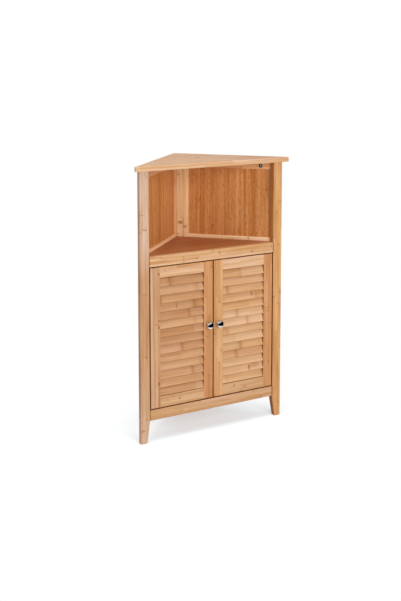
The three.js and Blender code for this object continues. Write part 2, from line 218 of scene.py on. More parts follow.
def rounded_rings(corners, radii, insets):
    """Closed outlines, one for each ring, from polygons that run anticlockwise.

    Each side of the polygon moves inwards by the ring's inset. At each corner an arc of the corner's
    radius, less the inset, touches both sides; a point on either side, a margin away from the arc,
    keeps the flat faces flat.
    """
    ahead = np.roll(corners, -1, axis=1) - corners
    ahead /= np.linalg.norm(ahead, axis=2, keepdims=True)
    behind = np.roll(ahead, 1, axis=1)
    inward_in, inward_out = quarter_turn(behind), quarter_turn(ahead)
    shift = (inward_in + inward_out) / (1 + (inward_in * inward_out).sum(-1, keepdims=True))
    corner = corners + insets[:, None, None] * shift
    turn = np.arctan2((inward_in * ahead).sum(-1), (behind * ahead).sum(-1))
    side = np.sign(turn)
    radius = np.maximum(radii - side * insets[:, None], LEAST_RADIUS)
    reach = (radius * np.tan(np.abs(turn) / 2))[..., None]
    start = corner - reach * behind
    centre = start + (side * radius)[..., None] * inward_in
    angle = turn[..., None] * np.linspace(0, 1, CORNER_STEPS + 1)
    spoke = (start - centre)[..., None, :]
    cosine, sine = np.cos(angle)[..., None], np.sin(angle)[..., None]
    arcs = centre[..., None, :] + cosine * spoke + sine * quarter_turn(spoke)
    before = (start - MARGIN * behind)[..., None, :]
    after = (corner + (reach + MARGIN) * ahead)[..., None, :]
    return np.concatenate([before, arcs, after], axis=2).reshape(len(corners), -1, 2)


def eased_levels(low, high, ease_low, ease_high, between=(), steps=4, margin=MARGIN):
    """Heights and insets of a board's rings: at each end the inset falls from the ease to nothing
    along a quarter circle, inset = ease * (1 - sin a) and height = ease * (1 - cos a)."""
    angle = np.linspace(0, math.pi / 2, steps + 1)
    draw, rise = 1 - np.sin(angle), 1 - np.cos(angle)
    first = [low, *(low + ease_low * rise), low + ease_low + margin]
    last = [high - ease_high - margin, *(high - ease_high * rise[::-1]), high]
    first_insets = [ease_low + margin, *(ease_low * draw), 0]
    last_insets = [0, *(ease_high * draw[::-1]), ease_high + margin]
    insets = [*first_insets, *[0] * len(between), *last_insets]
    return np.array([*first, *between, *last]), np.array(insets)


def carried(corners, radii, levels):
    """A section with round corners, carried along a third axis: one ring of points for each level,
    drawn in by its inset. Corners are one list, or one for each ring."""
    heights, insets = levels
    corners = np.broadcast_to(np.array(corners, float), (len(heights), *np.shape(corners)[-2:]))
    outline = rounded_rings(corners, np.array(radii, float), insets)
    level = np.broadcast_to(heights[:, None, None], (*outline.shape[:2], 1))
    return np.concatenate([outline, level], -1)


def quads(rows, columns, closed=True):
    """Quads between successive rows of points, which close into rings or stay open."""
    row = np.arange(rows - 1)[:, None] * columns
    here = np.arange(columns if closed else columns - 1)
    there = (here + 1) % columns
    corners = [row + here, row + there, row + columns + there, row + columns + here]
    return np.stack(corners, -1).reshape(-1, 4).tolist()


def tube_faces(rings, points):
    """Quads between successive closed rings, and one flat face over each end."""
    end = np.arange(points)
    return [*quads(rings, points), end[::-1].tolist(), (end + (rings - 1) * points).tolist()]


def turned(profile, points):
    """A profile of radii and heights turned about the third axis, closed at both poles: a point is
    (radius * cos a, radius * sin a, height) for angles a all the way round."""
    angle = np.arange(points) * 2 * math.pi / points
    radius, height = profile[1:-1, 0:1], profile[1:-1, 1:2]
    rings = np.stack([radius * np.cos(angle), radius * np.sin(angle), height + 0 * angle], -1)
    poles = [[0, 0, profile[0, 1]], [0, 0, profile[-1, 1]]]
    vertices = np.concatenate([rings.reshape(-1, 3), poles])
    here = np.arange(points)
    there = (here + 1) % points
    low_pole, last_ring = len(radius) * points, (len(radius) - 1) * points
    low = np.stack([there, here, np.full(points, low_pole)], -1)
    high = np.stack([here + last_ring, there + last_ring, np.full(points, low_pole + 1)], -1)
    return vertices, [*quads(len(radius), points), *low.tolist(), *high.tolist()]


def arc(centre, radii, start, end, steps):
    """Points centre + radii * (cos a, sin a) of an ellipse, between two angles in degrees."""
    angle = np.radians(np.linspace(start, end, steps + 1))[:, None]
    return np.array(centre) + np.array(radii) * np.concatenate([np.cos(angle), np.sin(angle)], 1)


def rectangle(low, high):
    """The corners of a box in its first two axes, anticlockwise."""
    return [(low[0], low[1]), (high[0], low[1]), (high[0], high[1]), (low[0], high[1])]


def facing(direction):
    """The axes of a piece whose third axis points in a level direction."""
    return np.array([np.cross([0, 0, 1], direction), [0, 0, 1], direction])


def drawn(name, vertices, faces, material):
    """A mesh object in the scene."""
    mesh = bpy.data.meshes.new(name)
    mesh.from_pydata(np.array(vertices, float).tolist(), [], faces)
    mesh.materials.append(material)
    piece = bpy.data.objects.new(name, mesh)
    bpy.context.scene.collection.objects.link(piece)
    return piece


def put(name, body, material, vertices, faces, layers=()):
    """A smooth piece that rides on a body, with its vector attributes."""
    piece = drawn(name, vertices, faces, material)
    piece.data.shade_smooth()
    for layer, values in dict(layers).items():
        attribute = piece.data.attributes.new(layer, "FLOAT_VECTOR", "POINT")
        attribute.data.foreach_set("vector", np.ascontiguousarray(values, np.float32).ravel())
    piece.data.validate()
    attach(piece, body)
    return piece


def prism(name, body, material, corners, radius, levels, axes):
    """A piece with one section all the way along, all its corners of one radius."""
    rings = carried(corners, [radius] * len(corners), levels)
    return put(name, body, material, rings.reshape(-1, 3) @ axes, tube_faces(*rings.shape[:2]))


# Each board in the list of nodes starts this much further along and through the pattern.
PATTERN_STEP = np.array([0.731, 0, 0.9])


def board(node, corners, radii, levels, axes, grain, base, material=None, slot="frame", origin=(0, 0, 0)):
    """An eased board in a node's place, with its own grain coordinates and base colour.

    Corners are in the board's first two axes, one list or one for each ring, and levels in its third.
    Grain names the axes that run along, across and through the wood. The base colour is one for the
    whole board, or one for each ring.
    """
    rings = carried(corners, radii, levels)
    count, points = rings.shape[:2]
    local = rings.reshape(-1, 3)
    start = PATTERN_STEP * (NODE_ORDER.index(node) + 1)
    wood = (local - local.min(0))[:, list(grain)] + start
    tint = np.repeat(np.broadcast_to(np.array(base), (count, 3)), points, axis=0)
    side, _, rest = node.partition("_door_")
    piece = put(
        "finished_" + node,
        side + "_door" if rest else "carcass",
        material or frame_bamboo(),
        local @ axes + np.array(origin),
        tube_faces(count, points),
        {"wood": wood, "tint": tint},
    )
    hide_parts(node)


def bar(node, lie, radii, ease, base, span=None):
    """A board with its node's section, straight from one place along it to another, or as long as its
    node."""
    low, high = (lie[0] @ corner for corner in box(node))
    start, end = span or (low[2], high[2])
    board(node, rectangle(low, high), radii, eased_levels(start, end, ease, ease), *lie, base)


# Finishes


def math_method(operation):
    """A method of a wire, which gives it and other values to a Math node."""
    return lambda wire, *others: wire.finish.maths(operation, wire, *others)


class Wire:
    """A value on its way through a finish. Arithmetic and comparison on it add Math nodes."""

    def __init__(self, finish, socket):
        self.finish = finish
        self.socket = socket

    def __rsub__(self, other):
        return self.finish.maths("SUBTRACT", other, self)

    __add__ = __radd__ = math_method("ADD")
    __sub__ = math_method("SUBTRACT")
    __mul__ = __rmul__ = math_method("MULTIPLY")
    __truediv__ = math_method("DIVIDE")
    __lt__ = math_method("LESS_THAN")
    __gt__ = math_method("GREATER_THAN")
    __abs__ = math_method("ABSOLUTE")


class Finish:
    """A procedural material, or the sky, in the making."""

    def __init__(self, name, kind="materials"):
        self.data = getattr(bpy.data, kind).new(name)
        self.data.use_nodes = True
        self.tree = self.data.node_tree
        self.tree.nodes.clear()

    def node(self, kind, settings=(), sockets=(), output=0):
        """Any node: its settings first, then the values and links of its sockets."""
        made = self.tree.nodes.new(kind)
        for key, value in dict(settings).items():
            setattr(made, key, value)
        for key, value in dict(sockets).items():
            if isinstance(value, Wire):
                self.tree.links.new(value.socket, made.inputs[key])
            else:
                made.inputs[key].default_value = value
        return Wire(self, made.outputs[output]) if made.outputs else None

    def maths(self, operation, *values, clamp=False):
        settings = {"operation": operation, "use_clamp": clamp}
        return self.node("ShaderNodeMath", settings, dict(enumerate(values)))

    def vectors(self, operation, *values, output=0):
        return self.node("ShaderNodeVectorMath", {"operation": operation}, dict(enumerate(values)), output)

    def floor(self, value):
        return self.maths("FLOOR", value)

    def clamped(self, value):
        return self.maths("ADD", value, 0, clamp=True)

    def ramp(self, value, none, full):
        """0 up to one value, then evenly up to 1 at another, which may be the smaller of the two."""
        return self.clamped((value - none) / (full - none))

    def split(self, vector):
        made = self.node("ShaderNodeSeparateXYZ", (), {0: vector})
        return [Wire(self, socket) for socket in made.socket.node.outputs]

    def joined(self, x, y, z):
        return self.node("ShaderNodeCombineXYZ", (), {0: x, 1: y, 2: z})

    def layer(self, name):
        """A vector attribute of the piece."""
        return self.node("ShaderNodeAttribute", {"attribute_name": name}, (), "Vector")

    def place(self):
        return self.node("ShaderNodeTexCoord", (), (), "Object")

    def chance(self, x, y, z):
        """Three random numbers for a cell."""
        cell = {0: self.joined(x, y, z)}
        return self.split(self.node("ShaderNodeTexWhiteNoise", {"noise_dimensions": "3D"}, cell, "Color"))

    def noise(self, x, y, z, detail=2.0, roughness=0.5):
        """Smooth noise from 0 to 1 about 0.5, its grains one unit long in each coordinate."""
        sockets = {"Vector": self.joined(x, y, z), "Scale": 1.0, "Detail": detail, "Roughness": roughness}
        return self.node("ShaderNodeTexNoise", {"noise_dimensions": "3D"}, sockets)

    def near(self, place, centre, reach):
        """1 at a point, falling to 0 on the ellipsoid with these three half lengths."""
        offset = self.vectors("SUBTRACT", place, centre)
        scaled = self.vectors("MULTIPLY", offset, [1 / r for r in reach])
        return self.maths("SUBTRACT", 1, self.vectors("LENGTH", scaled, output="Value"), clamp=True)

    def seen(self):
        """1 for what a camera, a mirror or glass sees, and 0 for the light that other surfaces get."""
        rays = self.node("ShaderNodeLightPath").socket.node.outputs
        kinds = ("Camera", "Glossy", "Transmission")
        camera, mirror, glass = (Wire(self, rays[f"Is {kind} Ray"]) for kind in kinds)
        return self.maths("MAXIMUM", camera, self.maths("MAXIMUM", mirror, glass))

    def shade(self, base, tone):
        """A colour made lighter or darker."""
        return self.vectors("MULTIPLY", [*base], self.joined(tone, tone, tone))

    def bump(self, height, strength, distance):
        return self.node("ShaderNodeBump", (), {"Height": height, "Strength": strength, "Distance": distance})

    def surface(self, **sockets):
        """The finished material: a Principled shader with these sockets."""
        named = {key.replace("_", " ").title().replace("Ior", "IOR"): value for key, value in sockets.items()}
        return self.done(self.node("ShaderNodeBsdfPrincipled", (), named))

    def done(self, shader, kind="Material"):
        """The finished material or sky, with this shader."""
        self.node("ShaderNodeOutput" + kind, (), {"Surface": shader})
        return self.data


# How much a lighter tone and a yellower hue add to red, green and blue, and how much the brown takes away
TONE_ADDS = (0.55, 1.0, 1.6)
HUE_ADDS = (0.0, 0.05, -0.2)
BROWN_TAKES = (0.4, 0.62, 0.76)
# Half width of a glue line, least half width of a knuckle and how much more it may be, and how far
# knuckles and the outlines of brown marks waver
GLUE_LINE = 0.0003
KNUCKLE, KNUCKLE_MORE = 0.0010, 0.0014
KNUCKLE_WAVER = 0.003
MARK_WAVER = 0.004


def marks_and_painted_shade(finish, marks, crevice):
    """The brown of the marks, with wavering outlines, and the painted shade of gaps and corners."""
    spots = 0.0
    if marks:
        place = finish.place()
        sockets = {"Vector": place, "Scale": 260.0, "Detail": 1.0}
        wobble = finish.node("ShaderNodeTexNoise", (), sockets, "Color")
        place = finish.vectors("ADD", place, finish.vectors("MULTIPLY", wobble, [MARK_WAVER] * 3))
        for centre, half_lengths, darkness in marks:
            middle = [c + MARK_WAVER / 2 for c in centre]
            spots = finish.clamped(finish.near(place, middle, half_lengths) * 2.0) * darkness + spots
    return crevice(finish) + spots if crevice else spots


def bamboo(
    wood,
    base,
    strip,
    layer,
    block,
    strength,
    blush,
    knuckles=1.0,
    line=0.5,
    seams=0.16,
    flecks=0.0,
    marks=(),
    crevice=None,
):
    """Laminated bamboo, from coordinates that run along, across and through the wood.

    The board is glued up from strips of the given width and thickness, and each strip from blocks
    of the given length. Tone and hue change at random from strip to strip and block to block, and a
    darker tone is a more orange one. Where a block ends is a knuckle, a thin brown line across the
    strip in an orange haze. Long streaks and fine fibres run along it. Strength scales how much the
    tones differ, blush the hues, knuckles the width of the knuckles, line how dark they are, seams the
    glue lines, and flecks the short dark dashes. Marks are brown spots at given places. The last
    argument gives painted shade: a brown from 0 to 1 where shade falls in gaps and corners.
    """
    finish = wood.finish
    along, across, through = finish.split(wood)

    def grain(lengthwise, crosswise, detail=2.0, roughness=0.5):
        """Noise with so many grains to the metre along the wood, and across and through it."""
        return finish.noise(along * lengthwise, across * crosswise, through * crosswise, detail, roughness)

    # The seeds keep the random numbers of strips, blocks and knuckles apart.
    strip_seed, knuckle_seed, most_blocks_on = 3.0, 41.0, 9.0
    column, depth = finish.floor(across / strip), finish.floor(through / layer)
    strip_tone, strip_hue, strip_start = finish.chance(column, depth, strip_seed)
    run = along / block + strip_start * most_blocks_on
    block_tone, block_hue, _ = finish.chance(column, depth, finish.floor(run))
    knuckle_number = finish.floor(run + 0.5)
    knuckle_chance, knuckle_size, _ = finish.chance(column + knuckle_seed, depth, knuckle_number)

    broad = grain(1.6, 21, 1.0)
    streak = grain(6, 150)
    fibre = grain(26, 1150, roughness=0.6)
    dash = grain(45, 260)
    waver = (finish.noise(across * 420, along * 70, depth, 1.0) - 0.5) * KNUCKLE_WAVER

    # A third of the knuckles don't show. The haze round one reaches four of its half widths.
    to_knuckle = abs((run - knuckle_number) * block + waver)
    shown = finish.clamped((knuckle_chance - 0.35) * 2.2) * (0.5 + streak)
    reach = knuckles * (KNUCKLE + KNUCKLE_MORE * knuckle_size)
    knuckle = finish.clamped(1.4 - to_knuckle / reach) * shown
    haze = finish.clamped(1 - to_knuckle / (4 * reach)) * shown
    fleck = finish.ramp(dash, 0.56, 0.76) * flecks
    to_seam = (0.5 - abs(across / strip - column - 0.5)) * strip
    glue = finish.ramp(to_seam, GLUE_LINE, 0)
    # The marks' brown, and the painted shade where a caller gives one
    spots = marks_and_painted_shade(finish, marks, crevice)
    brown = finish.clamped(knuckle * line + haze * 0.24 + fleck + spots)

    shares = ((strip_tone, 0.22), (block_tone, 0.22), (broad, 0.26), (streak, 0.6), (fibre, 0.36))
    tone = strength * sum(share * (value - 0.5) for value, share in shares)
    tone = tone + flecks * (dash - 0.5) - seams * glue
    hue = blush * (strip_hue + block_hue - 1)
    channels = [
        (1 + lighter * tone + yellower * hue) * (1 - darker * brown)
        for lighter, yellower, darker in zip(TONE_ADDS, HUE_ADDS, BROWN_TAKES)
    ]
    relief = fibre * 0.5 + streak * 0.4 - glue * 0.5 - knuckle * 0.3
    return finish.surface(
        base_color=finish.vectors("MULTIPLY", base, finish.joined(*channels)),
        roughness=0.42 + 0.16 * (streak - 0.5) + 0.08 * brown,
        specular_ior_level=0.18,
        coat_weight=0.03,
        coat_roughness=0.3,
        normal=finish.bump(relief, 0.25, 0.0004),
    )


def board_bamboo(name, **looks):
    """Bamboo of the eased boards, from their own coordinates and tint."""
    finish = Finish(name)
    return bamboo(finish.layer("wood"), finish.layer("tint"), **looks)


def node_bamboo(name, base, order, **looks):
    """Bamboo of the frame's own nodes, from their place in the cupboard. Order picks what runs
    along, across and through the wood from: 0 towards the side, 1 back, 2 up, 3 along the walls,
    4 through the walls. Both walls share one pattern, mirrored and some way apart in depth."""
    apart, start = 0.9, 5.0
    finish = Finish(name)
    x, y, z = finish.split(finish.place())
    aside = abs(x)
    through = (aside + y) * DIAGONAL + finish.maths("SIGN", x) * apart
    choice = [x, y, z, (aside - y) * DIAGONAL, through]
    wood = finish.joined(*[choice[number] + start for number in order])
    return bamboo(wood, [*base], **looks)


def front_marks(y, rows, deep=0.01):
    """Marks on a face that looks forwards, from X, Z, half width, half height and darkness. All of
    them reach equally deep."""
    return [((x, y, z), (wide, deep, tall), darkness) for x, z, wide, tall, darkness in rows]


# Brown marks on faces that look forwards: X, Z, half width, half height and darkness
DOOR_MARKS = (
    (-0.2043, 0.5634, 0.0040, 0.0060, 1.0),
    (-0.2043, 0.3848, 0.0040, 0.0055, 1.0),
    (-0.2036, 0.1956, 0.0045, 0.0060, 1.0),
    (0.2146, 0.3966, 0.0160, 0.0022, 0.7),
    (0.2146, 0.3860, 0.0150, 0.0022, 0.6),
    (0.0832, 0.1401, 0.0028, 0.0080, 0.9),
    (0.1251, 0.1275, 0.0035, 0.0050, 0.7),
    (-0.1285, 0.1343, 0.0035, 0.0090, 0.8),
)
MIDDLE_RAIL_MARKS = (
    (-0.1985, 0.6177, 0.0040, 0.0030, 0.8),
    (-0.1120, 0.6050, 0.0020, 0.0120, 0.6),
    (0.0243, 0.6110, 0.0020, 0.0100, 0.6),
    (0.1540, 0.6018, 0.0040, 0.0040, 0.6),
)
POST_MARKS = (
    (-0.2665, 0.7631, 0.0140, 0.0022, 0.6),
    (-0.2640, 0.0447, 0.0120, 0.0060, 0.5),
    (0.2680, 0.4470, 0.0060, 0.0050, 0.7),
    (0.2640, 0.7668, 0.0090, 0.0040, 0.5),
    (0.2635, 0.0483, 0.0070, 0.0040, 0.5),
)
SLAT_MARKS = (
    (0.1680, 0.1990, 0.0300, 0.0100, 0.45),
    (0.1450, 0.1930, 0.0060, 0.0120, 0.8),
    (0.1548, 0.4530, 0.0060, 0.0100, 0.7),
    (-0.1367, 0.4500, 0.0030, 0.0120, 0.7),
)
# Brown marks elsewhere: the middle, the half lengths along X, Y and Z, and the darkness
NICHE_MARKS = (
    ((0.0107, 0.1240, 0.6750), (0.0125, 0.0125, 0.0080), 1.0),
    ((0.0219, 0.1128, 0.6610), (0.0090, 0.0090, 0.0070), 0.7),
    # The third row is painted shade: a faint darkening down the niche's back corner
    ((0.0040, 0.1307, 0.7600), (0.0160, 0.0160, 0.4000), 0.25),
    ((0.1861, -0.0514, 0.6331), (0.0030, 0.0100, 0.0200), 0.6),
)
FRAME_MARKS = (
    *front_marks(DOOR_FRONT, DOOR_MARKS + MIDDLE_RAIL_MARKS),
    *front_marks(POST_FRONT, POST_MARKS),
    *NICHE_MARKS,
)
TOP_MARKS = (
    ((0.0077, -0.0041, 0.9200), (0.0120, 0.0100, 0.0100), 0.7),
    ((0.0718, -0.0472, 0.9200), (0.0100, 0.0060, 0.0100), 0.5),
    ((-0.1690, -0.0976, 0.9200), (0.0220, 0.0060, 0.0100), 0.6),
    ((0.0013, -0.1545, 0.9130), (0.0060, 0.0100, 0.0040), 0.5),
    # The last row is painted shade: a broad darkening over the right end of the top
    ((0.2700, -0.1300, 0.9220), (0.2200, 0.2000, 0.0120), 0.3),
)
# Painted shade on the niche's floor: its right end beside the post, and a shadow line behind the middle rail
SHELF_PAINTED_SHADE = (
    ((0.1900, -0.1000, 0.6250), (0.1800, 0.1200, 0.0400), 0.3),
    ((-0.1100, box("front_middle_rail")[1][1] + 0.004, 0.6240), (0.1700, 0.0110, 0.0100), 0.55),
)


def closest(finish, value, planes):
    """Distance of a coordinate from the nearest of several planes."""
    nearest, *others = [abs(value - plane) for plane in planes]
    for distance in others:
        nearest = finish.maths("MINIMUM", nearest, distance)
    return nearest


def gap_painted_shade(finish):
    """Painted shade: brown on the narrow sides of boards that face the gaps round the doors, or the slats
    between them, from just behind the front to a centimetre behind it, where shade falls in the gaps.
    The joints between the front rails and the posts, and the legs' tapered inner sides, get painted shade too."""
    sizes = bpy.context.scene.cupboard_sizes
    x, y, z = finish.split(finish.place())
    aside = abs(x)
    hinge, meeting = box("right_door_hinge_stile"), box("right_door_meeting_stile")
    floor, ceiling = box("front_bottom_rail")[1][2], box("front_middle_rail")[0][2]
    sills = (box("right_door_bottom_rail")[1][2], box("right_door_top_rail")[0][2])
    # Painted shade on the sides of the boards inside the gaps round the doors
    upright = closest(finish, aside, (POST_INNER, hinge[1][0], hinge[0][0], meeting[1][0], meeting[0][0]))
    level = closest(finish, z, (floor, ceiling, hinge[0][2], hinge[1][2], *sills))

    near_plane, off_plane, into_post = 0.0003, 0.0009, 0.0002
    tall = abs(z - (floor + ceiling) / 2) < (ceiling - floor) / 2
    wide = aside < POST_INNER + into_post
    upright = finish.ramp(upright, off_plane, near_plane) * tall
    level = finish.ramp(level, off_plane, near_plane) * wide
    behind = y - DOOR_FRONT
    from_front, to_back = finish.ramp(behind, 0, 0.0005), finish.ramp(behind, 0.012, 0.007)
    gaps = finish.maths("MAXIMUM", upright, level) * from_front * to_back

    # Painted shade on the legs' tapered inner sides
    taper = abs(aside - POST_INNER - (sizes.leg - z) * (sizes.foot_taper / sizes.leg))
    legs = finish.ramp(taper, off_plane, near_plane) * (z < sizes.leg)
    legs = legs * finish.ramp(y - POST_FRONT, 0.0015, 0.0035)

    # Painted shade in the joints between the front rails and the posts
    joint_end, joint_full, joint_deep = 0.00352, 0.00132, 0.002
    rails = 0.0
    for low, high in ((sizes.leg, floor), (ceiling, box("front_middle_rail")[1][2])):
        rails = (z > low) * (z < high) + rails
    joints = finish.ramp(abs(aside - POST_INNER), joint_end, joint_full) * rails * (behind < joint_deep)
    return gaps + 0.8 * joints + 0.85 * legs


def frame_bamboo():
    """The finish of all boards of the frame and of the doors' frames, made once."""
    looks = {"strip": 0.0086, "layer": 0.006, "block": 0.21, "strength": 1.3, "blush": 0.5}
    found = bpy.data.materials.get("Frame bamboo")
    # The frame's bamboo carries painted shade in the door gaps, the rail joints and on the legs' inner sides
    return found or board_bamboo("Frame bamboo", **looks, marks=FRAME_MARKS, crevice=gap_painted_shade)


def plated(name, base, roughness, wear):
    """Polished or brushed metal: faint clouds and fine scratches change its roughness."""
    finish = Finish(name)
    x, y, z = finish.split(finish.place())
    cloud = finish.noise(x * 90, y * 90, z * 90, 3.0)
    scratch = finish.noise(x * 3000, y * 3000, z * 160, 2.0)
    return finish.surface(
        base_color=finish.shade(base, 1 + wear * (cloud - 0.5)),
        metallic=1.0,
        roughness=roughness + wear * 0.3 * (cloud - 0.5) + wear * 0.2 * (scratch - 0.5),
        normal=finish.bump(scratch, wear * 0.3, 0.0001),
    )


def moulded(name, base):
    """Plastic with a fine grain and faint clouds."""
    finish = Finish(name)
    x, y, z = finish.split(finish.place())
    grain = finish.noise(x * 1500, y * 1500, z * 1500, 2.0)
    cloud = finish.noise(x * 60, y * 60, z * 60, 2.0)
    return finish.surface(
        base_color=finish.shade(base, 0.97 + 0.06 * cloud),
        roughness=0.42 + 0.1 * grain,
        normal=finish.bump(grain, 0.12, 0.0002),
    )


def fastener(name, bright, dark, ring, half_slot):
    """A zinc fastener's face from its own coordinates: a bright middle with a dark cross recess, a dark ring
    from the given radius outwards, and a bright rim. The dark cross and ring are painted shade of recesses
    that the domed mesh doesn't sink; a bump dents them."""
    rim = 0.0069
    finish = Finish(name)
    u, v, radius = finish.split(finish.layer("face"))
    cross = (finish.maths("MINIMUM", abs(u), abs(v)) < half_slot) * (radius < ring * 0.8)
    recess_shade = finish.clamped(cross + (radius > ring) * (radius < rim))
    grain = finish.noise(u * 2500, v * 2500, radius * 2500, 2.0)
    # In a Mix node of colours, sockets 6 and 7 are the two colours and output 2 is the mixed one.
    colours = {0: recess_shade, 6: (*bright, 1), 7: (*dark, 1)}
    return finish.surface(
        base_color=finish.node("ShaderNodeMix", {"data_type": "RGBA"}, colours, 2),
        metallic=0.6 - 0.5 * recess_shade,
        roughness=0.4 + 0.25 * recess_shade + 0.15 * (grain - 0.5),
        specular_ior_level=0.1,
        normal=finish.bump(grain * 0.2 - recess_shade, 0.5, 0.0003),
    )


# Pieces


def settings(context):
    """The sizes and the colours of the cupboard."""
    return context.scene.cupboard_sizes, context.scene.cupboard_colours


def repaint(node, material):
    """Gives a node of the frame its finish."""
    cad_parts[node].data.materials.clear()
    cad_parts[node].data.materials.append(material)


class CUPBOARD_OT_top(Operator):
    """The triangular top plate, eased all round"""

    bl_idname = "cupboard.top"
    bl_label = "Top plate"

    def execute(self, context):
        sizes, colours = settings(context)
        low, high = box("top_plate")
        tip = low[1] + sizes.top_tip
        corners = [(low[0], low[1]), (high[0], low[1]), (high[0], tip), (0, high[1]), (low[0], tip)]
        corner, apex_corner = 0.002, 0.0008
        radii = [corner, corner, corner, apex_corner, corner]
        levels = eased_levels(low[2], high[2], sizes.top_edge, sizes.top_edge, steps=6)
        looks = {"strip": 0.0205, "layer": 0.008, "block": 0.34, "strength": 0.8, "blush": 0.5}
        material = board_bamboo("Top bamboo", **looks, marks=TOP_MARKS)
        board("top_plate", corners, radii, levels, UPRIGHT, (0, 1, 2), colours.top, material, "top")
        return {"FINISHED"}


class CUPBOARD_OT_posts(Operator):
    """The two front posts, which taper below the apron into the front legs"""

    bl_idname = "cupboard.posts"
    bl_label = "Front posts"

    def execute(self, context):
        sizes, colours = settings(context)
        bend, corner = 0.0006, 0.001
        tint_rings = (0.14, 0.26, 0.55, 0.66)
        between = (sizes.leg - bend, sizes.leg + bend, *tint_rings)
        for side, sign in SIDES.items():
            node = side + "_front_post"
            low, high = box(node)
            inner, outer = sorted((abs(low[0]), abs(high[0])))
            levels = eased_levels(0, high[2], sizes.foot_edge, sizes.joint_ease, between)
            heights = levels[0]
            taper = np.clip(1 - heights / sizes.leg, 0, 1)
            inner_x = inner + sizes.foot_taper * taper
            back_y = high[1] - sizes.foot_back_taper * taper
            side_y = low[1] + sizes.post_outer
            same = np.ones_like(heights)
            plan = [
                (inner_x, low[1] * same),
                (outer * same, low[1] * same),
                (outer * same, side_y * same),
                (outer + side_y - back_y, back_y),
                (inner_x, back_y),
            ]
            corners = np.moveaxis(np.array(plan), 2, 0)
            radii = [sizes.post_edge, sizes.post_edge, corner, corner, corner]
            base = colours.right_post
            if sign < 0:
                corners, radii = corners[:, ::-1] * (-1, 1), radii[::-1]
                base = self.left_colours(colours, heights)
            board(node, corners, radii, levels, *STANDING, base)
        return {"FINISHED"}

    def left_colours(self, colours, heights):
        """The left post's colour at each height: that of the doors' stretch, of the niche's, or between."""
        share = np.interp(heights, [0, 0.22, 0.56, 0.68], [0.5, 1, 1, 0])[:, None]
        return (1 - share) * np.array(colours.left_post) + share * np.array(colours.left_post_middle)


class CUPBOARD_OT_front_rails(Operator):
    """The rail below the niche and the apron, between the posts"""

    bl_idname = "cupboard.front_rails"
    bl_label = "Front rails"

    def execute(self, context):
        sizes, colours = settings(context)
        span = (box("left_front_post")[1][0], POST_INNER)
        radii = [sizes.ease, sizes.joint_ease, sizes.joint_ease, sizes.ease]
        for node, base in (("front_middle_rail", colours.middle_rail), ("front_bottom_rail", colours.apron)):
            bar(node, LYING, radii, sizes.joint_ease, base, span)
        return {"FINISHED"}


class CUPBOARD_OT_walls(Operator):
    """The mitred rear stiles and the side rails of both walls"""

    bl_idname = "cupboard.walls"
    bl_label = "Wall frames"

    def execute(self, context):
        sizes, colours = settings(context)
        gap = 0.0003
        reach = (APEX - POST_BACK - gap) / DIAGONAL
        mitre = gap * DIAGONAL
        for side in SIDES:
            width = getattr(sizes, side + "_stile")
            stile = [(sizes.wall + mitre, -sizes.wall), (width, -sizes.wall), (width, 0), (mitre, 0)]
            plans = {side + "_rear_stile": (stile, (2, 0, 1), getattr(colours, side + "_stile"))}
            rails = {
                "top": (0, colours.outer_side_rails),
                "middle": (-sizes.wall_inset, getattr(colours, side + "_shelf_rail")),
                "bottom": (0, colours.outer_side_rails),
            }
            for height, (face, base) in rails.items():
                rail = [
                    (width + gap, -sizes.wall),
                    (reach - sizes.wall, -sizes.wall),
                    (reach + face, face),
                    (width + gap, face),
                ]
                plans[f"{side}_{height}_side_rail"] = (rail, (0, 2, 1), base)
            for node, (corners, grain, base) in plans.items():
                low, high = box(node)
                if side == "left":
                    corners = [(x, -y) for x, y in reversed(corners)]
                levels = eased_levels(low[2], high[2], sizes.ease, sizes.ease)
                radii = [sizes.joint_ease] * len(corners)
                board(node, corners, radii, levels, ALONG_WALL[side], grain, base, origin=(0, APEX, 0))
        return {"FINISHED"}


class CUPBOARD_OT_boards(Operator):
    """The finish of the side panels and the shelves"""

    bl_idname = "cupboard.boards"
    bl_label = "Panels and shelves"

    def execute(self, context):
        _, colours = settings(context)
        looks = {"strip": 0.0088, "layer": 0.02, "block": 7.0, "strength": 1.3, "blush": 0.3}
        panel = node_bamboo("Panel bamboo", colours.panel, (2, 3, 4), **looks, seams=0.05, flecks=1.2)
        looks = {"strip": 0.019, "layer": 0.02, "block": 0.4, "strength": 0.6, "blush": 0.3}
        shelf = node_bamboo("Shelf bamboo", colours.shelf, (0, 1, 2), **looks, marks=SHELF_PAINTED_SHADE)
        for side in SIDES:
            repaint(side + "_side_panel", panel)
        for place in ("middle", "bottom"):
            repaint(place + "_shelf", shelf)
        return {"FINISHED"}


class CUPBOARD_OT_door_frames(Operator):
    """The stiles and rails of both doors, rounded round the outside of each door"""

    bl_idname = "cupboard.door_frames"
    bl_label = "Door frames"

    def execute(self, context):
        sizes, colours = settings(context)
        soft, fine = sizes.door_edge, sizes.joint_ease
        for side, sign in SIDES.items():
            edges = []
            for place, outwards in (("hinge", sign), ("meeting", -sign)):
                node = f"{side}_door_{place}_stile"
                edges += [corner[0] for corner in box(node)]
                left, right = (fine, soft) if outwards > 0 else (soft, fine)
                bar(node, STANDING, [left, right, right, left], soft, getattr(colours, f"{side}_{place}"))
            _, start, end, _ = sorted(edges)
            for place, below, above in (("top", fine, soft), ("bottom", soft, fine)):
                base = getattr(colours, f"door_{place}_rails")
                radii = [below, below, above, above]
                bar(f"{side}_door_{place}_rail", LYING, radii, fine, base, (start, end))
        return {"FINISHED"}


